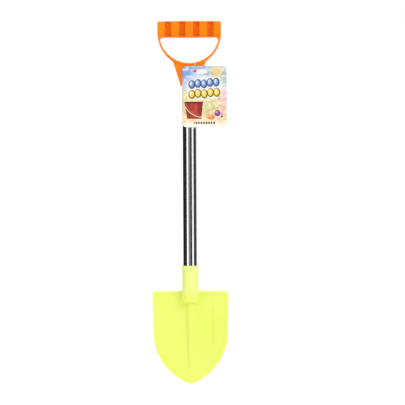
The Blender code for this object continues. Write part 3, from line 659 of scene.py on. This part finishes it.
def plated_steel(name):
    """Bright plating: a mirror with faint drawing lines, smears and pin specks."""
    paint = Paint(name)
    drawn = paint.vector("MULTIPLY", paint.place, (2500.0, 2500.0, 6.0))
    lines = paint.noise(scale=1.0, detail=3.0, roughness=0.6, place=drawn)
    smear = paint.noise(scale=28.0, detail=4.0, roughness=0.7)
    specks = paint.ramp(paint.noise(scale=2200.0, detail=1.0), 0.72, 0.80)
    gloss = paint.ramp(smear, 0.35, 0.75, 0.06, 0.14)
    gloss = paint.math("ADD", gloss, paint.math("MULTIPLY", lines, 0.04))
    tint = paint.mix(paint.ramp(smear, 0.4, 0.7), (0.95, 0.95, 0.96, 1.0), (0.89, 0.89, 0.91, 1.0))
    tint = paint.mix(paint.math("MULTIPLY", specks, 0.35), tint, (0.45, 0.43, 0.42, 1.0))
    skin = paint.bump(lines, strength=0.02, distance=0.02 * MM)
    return paint.shade(Base_Color=tint, Roughness=gloss, Normal=skin, Metallic=1.0)


def zinc(name):
    """Dull, cloudy zinc plating for the screws."""
    paint = Paint(name)
    cloud = paint.noise(scale=700.0, detail=4.0, roughness=0.7)
    tint = paint.mix(paint.ramp(cloud, 0.35, 0.65), (0.62, 0.63, 0.66, 1.0), (0.44, 0.45, 0.48, 1.0))
    gloss = paint.ramp(cloud, 0.3, 0.7, 0.26, 0.42)
    skin = paint.bump(paint.noise(scale=3000.0, detail=2.0), strength=0.15, distance=0.03 * MM)
    return paint.shade(Base_Color=tint, Roughness=gloss, Normal=skin, Metallic=1.0)


def clear_nylon(name):
    """Milky clear nylon with faint haze along its length."""
    paint = Paint(name)
    haze = paint.noise(scale=500.0, detail=3.0, roughness=0.6)
    tint = paint.mix(paint.ramp(haze, 0.3, 0.7), (0.93, 0.95, 0.97, 1.0), (0.80, 0.84, 0.88, 1.0))
    gloss = paint.ramp(haze, 0.3, 0.7, 0.16, 0.3)
    return paint.shade(
        Base_Color=tint, Roughness=gloss, Transmission_Weight=0.55, IOR=1.53,
        Normal=paint.bump(haze, strength=0.1, distance=0.05 * MM),
    )


class CardPrint(Paint):
    """The card's beach picture; places are millimetres from its lower left corner."""

    def __init__(self, name):
        super().__init__(name)
        corner = (CARD_LOW.x, 0.0, CARD_LOW.z)
        self.plane = self.vector("MULTIPLY", self.vector("SUBTRACT", self.place, corner), (1e3, 0.0, 1e3))
        split = self.node("ShaderNodeSeparateXYZ", {0: self.plane})
        self.across, self.height = split.outputs[0], split.outputs[2]
        self.picture = None

    def lay(self, mask, colour):
        """Print one colour over the picture where the mask is 1."""
        self.picture = self.mix(mask, self.picture, colour)

    def spot(self, place, half_width, half_height, soft=0.08):
        """Mask of an ellipse."""
        away = self.vector("SUBTRACT", self.plane, (place[0], 0.0, place[1]))
        scaled = self.vector("MULTIPLY", away, (1.0 / half_width, 0.0, 1.0 / half_height))
        return self.ramp(self.vector("LENGTH", scaled), 1.0 - soft, 1.0 + soft, 1.0, 0.0)

    def band(self, low, high, soft=PRINT_EDGE):
        """Mask of a level band between two heights."""
        rise = self.ramp(self.height, low - soft, low + soft)
        fall = self.ramp(self.height, high - soft, high + soft, 1.0, 0.0)
        return self.math("MULTIPLY", rise, fall)

    def between(self, left, right):
        """Mask between a left and a right edge, each a number or a socket."""
        rise = self.ramp(self.math("SUBTRACT", self.across, left), -PRINT_EDGE, PRINT_EDGE)
        fall = self.ramp(self.math("SUBTRACT", self.across, right), -PRINT_EDGE, PRINT_EDGE, 1.0, 0.0)
        return self.math("MULTIPLY", rise, fall)

    def background(self):
        """Pale sky above cream sand, with soft uneven washes of colour."""
        wash = self.math("SUBTRACT", self.noise(scale=70.0, detail=3.0), 0.5)
        level = self.math("ADD", self.height, self.math("MULTIPLY", wash, 20.0))
        self.picture = self.mix(self.ramp(level, 3.0, 12.0), srgb(254, 250, 240), srgb(252, 236, 186))
        self.lay(self.ramp(level, 30.0, 46.0), srgb(253, 238, 196))
        self.lay(self.ramp(level, 46.0, 62.0), srgb(240, 246, 228))
        self.lay(self.ramp(level, 62.0, 78.0), srgb(192, 220, 246))
        self.lay(self.ramp(level, 82.0, 99.0), srgb(164, 198, 240))

    def mottle(self, scale, start, low, high, opacity, colour):
        """Blotches of one colour between two heights."""
        moved = self.vector("ADD", self.place, (start, 0.0, 0.0))
        cloud = self.noise(scale, detail=3.0, roughness=0.6, place=moved)
        blotch = self.ramp(cloud, 0.50, 0.62, 0.0, opacity)
        self.lay(self.math("MULTIPLY", blotch, self.band(low, high, 8.0)), srgb(*colour))

    def washes(self):
        """Large soft patches and smaller blotches, as if painted with a wet brush."""
        patches = (
            ((4.0, 90.0), 11.0, 13.0, (112, 160, 238)),
            ((3.0, 70.0), 8.0, 13.0, (176, 178, 238)),
            ((4.0, 54.0), 5.0, 6.0, (232, 244, 158)),
            ((69.0, 52.0), 8.0, 13.0, (246, 184, 216)),
            ((68.0, 82.0), 9.0, 14.0, (200, 226, 204)),
            ((44.0, 33.0), 11.0, 11.0, (218, 232, 150)),
            ((66.0, 30.0), 8.0, 10.0, (250, 208, 186)),
            ((57.0, 91.0), 14.0, 12.0, (244, 232, 172)),
            ((4.0, 30.0), 6.0, 20.0, (248, 222, 170)),
            ((46.0, 21.0), 9.0, 7.0, (244, 190, 128)),
        )
        for place, half_width, half_height, colour in patches:
            mask = self.math("MULTIPLY", self.spot(place, half_width, half_height, 0.6), 0.9)
            self.lay(mask, srgb(*colour))
        blotches = (
            (110.0, 0.3, 62.0, 102.0, 0.65, (250, 252, 250)),
            (150.0, 0.7, 68.0, 102.0, 0.60, (110, 160, 200)),
            (130.0, 1.1, 8.0, 62.0, 0.60, (255, 253, 236)),
            (170.0, 1.9, 8.0, 60.0, 0.60, (240, 180, 130)),
            (160.0, 2.6, 20.0, 66.0, 0.50, (200, 214, 130)),
            (210.0, 3.4, 10.0, 98.0, 0.35, (190, 170, 140)),
        )
        for blotch in blotches:
            self.mottle(*blotch)
        self.lay(self.spot((57.0, 91.0), 6.4, 5.2, 0.6), srgb(250, 206, 134))

    def clouds(self):
        """One small bright cloud and the soft white burst behind the two rows."""
        puffs = (((31.0, 90.5), 11.0, 2.6), ((27.0, 92.2), 5.0, 2.6), ((35.0, 92.8), 5.5, 3.0))
        for place, half_width, half_height in puffs:
            self.lay(self.spot(place, half_width, half_height, 0.2), srgb(250, 244, 246))
        burst = self.spot((36.5, 65.5), 32.0, 19.0, 0.25)
        self.lay(self.math("MULTIPLY", burst, 0.66), srgb(254, 254, 250))

    def beads(self, count, start, end, size, outline, body, light):
        """A row of plain round beads with a darker rim and a highlight."""
        for index in range(count):
            share = index / (count - 1)
            across = start[0] + (end[0] - start[0]) * share
            height = start[1] + (end[1] - start[1]) * share + 0.9 * math.sin(2.3 * index)
            self.lay(self.spot((across + 0.4, height - 0.5), size[0] + 0.4, size[1] + 0.4), srgb(*outline))
            self.lay(self.spot((across, height), size[0] - 1.3, size[1] - 1.3, 0.10), srgb(*body))
            glint = self.spot((across - 0.9, height + 1.3), size[0] - 3.2, size[1] - 3.4, 0.35)
            self.lay(glint, srgb(*light))

    def pail(self):
        """A plain red pail with a wire handle."""
        foot, brim = 13.8, 42.0
        share = self.ramp(self.height, foot, brim, smooth=False)
        left = self.math("SUBTRACT", 8.2, self.math("MULTIPLY", share, 4.9))
        right = self.math("ADD", 31.3, self.math("MULTIPLY", share, 3.0))
        shape = self.math("MULTIPLY", self.between(left, right), self.band(foot, brim))
        light = self.ramp(self.across, 6.0, 20.0)
        self.lay(shape, self.mix(light, srgb(150, 58, 30), srgb(192, 46, 34)))
        side = self.math("MULTIPLY", shape, self.ramp(self.across, 21.0, 30.0, 0.0, 0.7))
        self.lay(side, srgb(146, 38, 26))
        shine = self.math("MULTIPLY", shape, self.spot((20.0, 32.0), 5.5, 9.0, 0.6))
        self.lay(self.math("MULTIPLY", shine, 0.5), srgb(222, 84, 66))
        blotch = self.ramp(self.noise(scale=200.0, detail=3.0), 0.48, 0.60, 0.0, 0.4)
        self.lay(self.math("MULTIPLY", shape, blotch), srgb(120, 34, 26))
        inner = self.math("MULTIPLY", shape, self.band(brim - 2.8, brim + 0.4, 0.4))
        self.lay(inner, srgb(104, 34, 24))
        self.bail(shape, 33.1, 0.5, 0.9, 1.0, (250, 206, 178))
        self.bail(shape, 30.2, 0.3, 0.6, 0.5, (236, 150, 120))

    def bail(self, shape, radius, core, fade, opacity, colour):
        """One curved wire of the pail's handle, across the pail's own shape."""
        away = self.vector("DISTANCE", self.plane, (34.2, 0.0, 49.3))
        miss = self.math("ABSOLUTE", self.math("SUBTRACT", away, radius))
        wire = self.ramp(miss, core, fade, opacity, 0.0)
        self.lay(self.math("MULTIPLY", wire, shape), srgb(*colour))

    def small_toys(self):
        """Plain round shapes on the sand."""
        shapes = (
            ((47.5, 16.4), 6.2, 3.9, (238, 146, 88)),
            ((46.5, 18.0), 3.2, 1.6, (250, 186, 130)),
            ((58.0, 23.0), 5.0, 5.2, (140, 76, 140)),
            ((56.8, 24.6), 2.4, 2.0, (200, 150, 204)),
            ((65.6, 21.5), 2.2, 3.0, (238, 160, 206)),
            ((65.2, 17.2), 1.6, 1.7, (70, 58, 76)),
        )
        for place, half_width, half_height, colour in shapes:
            self.lay(self.spot(place, half_width, half_height, 0.12), srgb(*colour))

    def dashes(self):
        """A plain dashed line near the bottom."""
        part = self.math("FRACT", self.math("DIVIDE", self.across, 4.2))
        dash = self.ramp(self.math("ABSOLUTE", self.math("SUBTRACT", part, 0.5)), 0.28, 0.36, 1.0, 0.0)
        row = self.math("MULTIPLY", self.band(5.3, 8.7, 0.2), self.between(19.0, 54.6))
        self.lay(self.math("MULTIPLY", dash, row), srgb(60, 58, 74))


def printed_card(name):
    """Coated card, printed on the front, whitened where the ink has rubbed thin."""
    paint = CardPrint(name)
    paint.background()
    paint.washes()
    paint.clouds()
    blues = ((58, 76, 130), (120, 152, 214), (212, 228, 250))
    yellows = ((120, 104, 44), (250, 218, 76), (254, 242, 160))
    paint.beads(5, (15.6, 70.8), (55.6, 74.3), (5.3, 6.8), *blues)
    paint.beads(5, (15.6, 54.6), (56.6, 57.6), (5.3, 7.0), *yellows)
    paint.pail()
    paint.small_toys()
    paint.dashes()
    rubbed = paint.ramp(paint.noise(scale=260.0, detail=5.0, roughness=0.75), 0.60, 0.78)
    base = paint.mix(paint.math("MULTIPLY", rubbed, 0.35), paint.picture, srgb(255, 253, 248))
    base = paint.mix(1.0, base, CARD_GREY, "MULTIPLY")
    fibre = paint.noise(scale=1500.0, detail=3.0, roughness=0.6)
    gloss = paint.ramp(paint.noise(scale=120.0, detail=3.0), 0.35, 0.7, 0.32, 0.48)
    skin = paint.bump(fibre, strength=0.12, distance=0.04 * MM)
    return paint.shade(Base_Color=base, Roughness=gloss, Normal=skin)


def plain_card(name):
    """The card's unprinted back and cut edges: greyish pulp with faint fibres."""
    paint = Paint(name)
    pulp = paint.noise(scale=420.0, detail=5.0, roughness=0.7)
    base = paint.mix(paint.ramp(pulp, 0.35, 0.65), srgb(238, 235, 226), srgb(222, 217, 206))
    skin = paint.bump(pulp, strength=0.2, distance=0.05 * MM)
    return paint.shade(Base_Color=base, Roughness=0.75, Normal=skin)


# ---- pieces ------------------------------------------------------------------------------
def finish_piece(piece, body, paints, node):
    """Give a piece its materials, hang it on the body it rides on and hide the CAD part it replaces."""
    for paint in paints:
        piece.data.materials.append(paint)
    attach(piece, body)
    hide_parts(node)


def shaft():
    """The plated tube with its wall, rounded at both cut ends."""
    inner = TUBE_RADIUS - TUBE_WALL
    low, high = TUBE_LOW.z, TUBE_HIGH.z
    span = high - low - 2.0 * TUBE_LIP
    heights = [low + TUBE_LIP + span * step / TUBE_RINGS for step in range(TUBE_RINGS + 1)]
    outside = [(TUBE_RADIUS, z) for z in heights]
    inside = [(inner, z) for z in reversed(heights)]
    profile = [(TUBE_RADIUS - TUBE_LIP, low)] + outside + [(TUBE_RADIUS - TUBE_LIP, high)]
    profile += [(inner + TUBE_LIP, high)] + inside + [(inner + TUBE_LIP, low)]
    piece = lathe("shaft", profile, TUBE_SIDES)
    finish_piece(piece, "spade", [plated_steel("bright_plating")], "shaft_tube")


def soft_corners(corners, cut, steps):
    """A closed outline with each corner rounded, starting its curve one cut before the corner."""
    points = []
    for index, corner in enumerate(corners):
        start = corner + (corners[index - 1] - corner).normalized() * cut
        end = corner + (corners[(index + 1) % len(corners)] - corner).normalized() * cut
        for step in range(steps + 1):
            share = step / steps
            curve = start * (1.0 - share) ** 2 + corner * 2.0 * share * (1.0 - share) + end * share ** 2
            points.append(curve)
    return points


def flat_mesh(name, outlines):
    """A filled flat mesh in X and Z from an outline and its holes."""
    curve = bpy.data.curves.new(name, "CURVE")
    curve.dimensions = "2D"
    curve.fill_mode = "BOTH"
    for outline in outlines:
        spline = curve.splines.new("POLY")
        spline.points.add(len(outline) - 1)
        for made, (x, z) in zip(spline.points, outline):
            made.co = (x, z, 0.0, 1.0)
        spline.use_cyclic_u = True
    flat = bpy.data.objects.new(name, curve)
    mesh = bpy.data.meshes.new_from_object(flat)
    bpy.data.objects.remove(flat)
    return mesh


def cut_into_strips(mesh_data, axis, low, high, count):
    """Cut a mesh by evenly spaced planes, so that it can bend."""
    normal = Vector((0.0, 0.0, 0.0))
    normal[axis] = 1.0
    for step in range(1, count):
        place = normal * (low + (high - low) * step / count)
        everything = mesh_data.verts[:] + mesh_data.edges[:] + mesh_data.faces[:]
        bmesh.ops.bisect_plane(mesh_data, geom=everything, plane_co=place, plane_no=normal)


def card_bow(x, z):
    """How far the card's own curl brings it forward, nothing at its hole."""
    across = (x - HOLE_CENTRE.x) / (CARD_HIGH.x - CARD_LOW.x)
    down = (HOLE_CENTRE.y - z) / (CARD_HIGH.z - CARD_LOW.z)
    return CARD_BOW_ACROSS * across ** 2 + CARD_BOW_DOWN * down ** 2


def card():
    """The hang card: thin, a little curled, with soft corners and a punched hole."""
    corners = [
        Vector((CARD_LOW.x, CARD_LOW.z)),
        Vector((CARD_HIGH.x, CARD_LOW.z)),
        Vector((CARD_HIGH.x, CARD_HIGH.z)),
        Vector((CARD_LOW.x, CARD_HIGH.z)),
    ]
    turns = [2.0 * math.pi * step / HOLE_SIDES for step in range(HOLE_SIDES)]
    hole = [HOLE_CENTRE + HOLE_RADIUS * Vector((math.cos(turn), math.sin(turn))) for turn in turns]
    mesh = flat_mesh("hang_card", [soft_corners(corners, CARD_CORNER_CUT, 8), hole])
    mesh_data = bmesh.new()
    mesh_data.from_mesh(mesh)
    bmesh.ops.remove_doubles(mesh_data, verts=mesh_data.verts, dist=0.001 * MM)
    cut_into_strips(mesh_data, 0, CARD_LOW.x, CARD_HIGH.x, CARD_COLUMNS)
    cut_into_strips(mesh_data, 1, CARD_LOW.z, CARD_HIGH.z, CARD_ROWS)
    middle = (CARD_LOW.y + CARD_HIGH.y) / 2.0
    for vertex in mesh_data.verts:
        x, z, _ = vertex.co
        vertex.co = (x, middle - card_bow(x, z), z)
    bmesh.ops.recalc_face_normals(mesh_data, faces=mesh_data.faces)
    if sum(face.normal.y for face in mesh_data.faces) > 0.0:
        bmesh.ops.reverse_faces(mesh_data, faces=mesh_data.faces)
    mesh_data.to_mesh(mesh)
    mesh_data.free()
    mesh.shade_smooth()
    piece = link(bpy.data.objects.new("hang_card", mesh))
    paints = [printed_card("printed_front"), plain_card("card_pulp")]
    finish_piece(piece, "card", paints, "tag_card")
    board = piece.modifiers.new("board", "SOLIDIFY")
    board.thickness = CARD_HIGH.y - CARD_LOW.y
    board.offset = 0.0
    board.material_offset = 1
    board.material_offset_rim = 1


def loop_field(x, y, z):
    """The nylon loop round the D's strip, and the snap lock on its back run."""
    place = np.stack([np.asarray(x) - HOLE_CENTRE.x, y, z], axis=-1)
    route = [np.array(point) for point in soft_corners(LOOP_ROUTE, LOOP_BEND, 6)]
    nearest = np.full(np.shape(x), 1.0)
    for start, end in zip(route, route[1:] + route[:1]):
        run = end - start
        share = np.clip((place - start) @ run / max(run @ run, 1e-12), 0.0, 1.0)
        nearest = np.minimum(nearest, np.linalg.norm(place - start - share[..., None] * run, axis=-1))
    thread = nearest - LOOP_RADIUS
    middle_z = (LOOP_ROUTE[2].z + LOOP_ROUTE[3].z) / 2.0
    lock_y = np.abs(y - LOOP_HIGH.y + LOCK_HALF_WIDTH) - LOCK_HALF_WIDTH
    lock = smooth_max(np.abs(x - HOLE_CENTRE.x) - LOCK_HALF_WIDTH, lock_y, LOCK_ROUND)
    groove = LOCK_GROOVE * np.cos((z - middle_z) * 2.0 * math.pi / LOCK_GROOVE_PITCH)
    lock = smooth_max(lock + 0.5 * groove, np.abs(z - middle_z) - LOCK_HALF_HEIGHT, LOCK_ROUND)
    return smooth_min(thread, lock, LOOP_TO_LOCK_FILLET)


def screw_field(seat):
    """Field of a pan-head screw with a cross recess and a coarse thread, driven in from the back."""
    def field(x, y, z):
        upward = z - seat.z
        radial = np.hypot(x, upward)
        depth = y - seat.y
        dome = np.hypot(radial, depth - SCREW_HEAD_LENGTH + SCREW_DOME_RADIUS) - SCREW_DOME_RADIUS
        head = smooth_max(smooth_max(radial - SCREW_HEAD_RADIUS, dome, 0.5 * MM), -depth, 0.2 * MM)
        level_arm = np.maximum(np.abs(x) - RECESS_HALF_LENGTH, np.abs(upward) - RECESS_HALF_WIDTH)
        upright_arm = np.maximum(np.abs(upward) - RECESS_HALF_LENGTH, np.abs(x) - RECESS_HALF_WIDTH)
        floor = RECESS_FLOOR + 0.35 * radial - depth
        recess = smooth_max(smooth_min(level_arm, upright_arm, 0.4 * MM), floor, 0.2 * MM)
        head = smooth_max(head, -recess, 0.15 * MM)
        turn = (depth / THREAD_PITCH - np.arctan2(upward, x) / (2.0 * math.pi)) % 1.0
        crest = THREAD_RISE * np.maximum(0.0, 1.0 - 5.0 * np.abs(turn - 0.5))
        taper = THREAD_RISE * smooth_step(y, SCREW_TIP_Y + THREAD_RUN_OUT, SCREW_TIP_Y)
        shank = smooth_max(radial - SCREW_CORE_RADIUS - crest + taper, SCREW_TIP_Y - y, 0.4 * MM)
        shank = np.maximum(shank, depth - 0.5 * MM)
        return smooth_min(head, shank, 0.2 * MM)
    return field


def mouldings():
    """The two plastic mouldings."""
    orange = moulded_plastic(
        "orange_moulding", ORANGE, ORANGE_SHADE, ORANGE_WORN, roughness=0.34, glow=0.5, sheen=0.15,
    )
    handle = field_object("handle_moulding", handle_field, HANDLE_LOW, HANDLE_HIGH, HANDLE_CELL)
    finish_piece(handle, "spade", [orange], "handle")
    # Painted highlight: the socket and foot step are made paler, as if reflecting white light.
    painted_highlight = (LIME_PAINTED_HIGHLIGHT, PAINTED_HIGHLIGHT_START_Z)
    lime = moulded_plastic(
        "lime_moulding", LIME, LIME_SHADE, LIME_WORN, roughness=0.34, glow=0.2, sheen=0.35, painted_highlight=painted_highlight,
    )
    blade = field_object("blade_moulding", blade_field, BLADE_LOW, BLADE_HIGH, BLADE_CELL)
    finish_piece(blade, "spade", [lime], "blade")


def fastenings():
    """The two screws and the card's nylon loop."""
    paint = zinc("zinc_plating")
    screws = (
        ("handle_screw", HANDLE_SCREW, HANDLE_SCREW_LOW, HANDLE_SCREW_HIGH),
        ("blade_screw", BLADE_SCREW, BLADE_SCREW_LOW, BLADE_SCREW_HIGH),
    )
    for node, seat, low, high in screws:
        piece = field_object(f"{node}_threaded", screw_field(seat), low, high, SCREW_CELL)
        finish_piece(piece, "spade", [paint], node)
    loop = field_object("nylon_loop", loop_field, LOOP_LOW, LOOP_HIGH, LOOP_CELL)
    finish_piece(loop, "spade", [clear_nylon("milky_nylon")], "tag_loop")


# ---- studio ------------------------------------------------------------------------------
def emission(name, level):
    """A plain grey glow."""
    material = bpy.data.materials.new(name)
    material.use_nodes = True
    tree = material.node_tree
    tree.nodes.remove(tree.nodes["Principled BSDF"])
    glow = tree.nodes.new("ShaderNodeEmission")
    glow.inputs["Color"].default_value = (level, level, level, 1.0)
    tree.links.new(glow.outputs[0], tree.nodes["Material Output"].inputs["Surface"])
    return material


def reflector(name, start, end, level):
    """An upright curved panel that only shiny surfaces see, between two headings from the front."""
    mesh_data = bmesh.new()
    count = int((end - start) / REFLECTOR_STEP_DEGREES)
    columns = []
    for step in range(count + 1):
        heading = math.radians(start + (end - start) * step / count)
        x, y = REFLECTOR_RADIUS * math.sin(heading), -REFLECTOR_RADIUS * math.cos(heading)
        columns.append([mesh_data.verts.new((x, y, z)) for z in REFLECTOR_SPAN])
    for left, right in zip(columns, columns[1:]):
        mesh_data.faces.new((left[0], right[0], right[1], left[1]))
    mesh = bpy.data.meshes.new(name)
    mesh_data.to_mesh(mesh)
    mesh_data.free()
    panel = link(bpy.data.objects.new(name, mesh))
    mesh.materials.append(emission(name, level))
    panel.visible_camera = False
    panel.visible_diffuse = False
    panel.visible_transmission = False
    panel.visible_shadow = False


def area_light(name, place, target, size, power):
    """A square soft light aimed at a point."""
    data = bpy.data.lights.new(name, "AREA")
    data.size = size
    data.energy = power
    lamp = link(bpy.data.objects.new(name, data))
    lamp.location = place
    lamp.rotation_euler = (Vector(target) - Vector(place)).to_track_quat("-Z", "Y").to_euler()
    lamp.visible_camera = False


def studio():
    """White room, pale floor, soft lights, dark panels for the plating to reflect."""
    scene = bpy.context.scene
    scene.view_settings.view_transform = "Standard"
    world = bpy.data.worlds.new("white_room")
    world.use_nodes = True
    world.node_tree.nodes["Background"].inputs["Color"].default_value = (1.0, 1.0, 1.0, 1.0)
    world.node_tree.nodes["Background"].inputs["Strength"].default_value = WORLD_STRENGTH
    scene.world = world
    floor_data = bmesh.new()
    bmesh.ops.create_grid(floor_data, x_segments=1, y_segments=1, size=FLOOR_REACH)
    mesh = bpy.data.meshes.new("floor")
    floor_data.to_mesh(mesh)
    floor_data.free()
    floor = link(bpy.data.objects.new("floor", mesh))
    floor.location.z = FLOOR_Z
    paint = Paint("pale_floor")
    mesh.materials.append(paint.shade(Base_Color=(0.97, 0.97, 0.97, 1.0), Roughness=0.9))
    for name, start, end, level in REFLECTORS:
        reflector(name, start, end, level)
    area_light("key", KEY_PLACE, LIGHT_TARGET, KEY_SIZE, KEY_POWER)
    area_light("fill", FILL_PLACE, LIGHT_TARGET, FILL_SIZE, FILL_POWER)
    data = bpy.data.lights.new("overhead", "SUN")
    data.energy = OVERHEAD_STRENGTH
    data.angle = OVERHEAD_ANGLE
    link(bpy.data.objects.new("overhead", data))


def camera():
    """A long lens, level, in front of the middle of the picture and rolled a touch."""
    data = bpy.data.cameras.new("camera")
    data.sensor_width = SENSOR
    data.lens = SENSOR * CAMERA_DISTANCE / FRAME_WIDTH
    made = link(bpy.data.objects.new("camera", data))
    made.location = (CAMERA_X, -CAMERA_DISTANCE, CAMERA_Z)
    made.rotation_euler = (math.radians(90.0), CAMERA_ROLL, 0.0)
    bpy.context.scene.camera = made


shaft()
mouldings()
fastenings()
card()
studio()
camera()
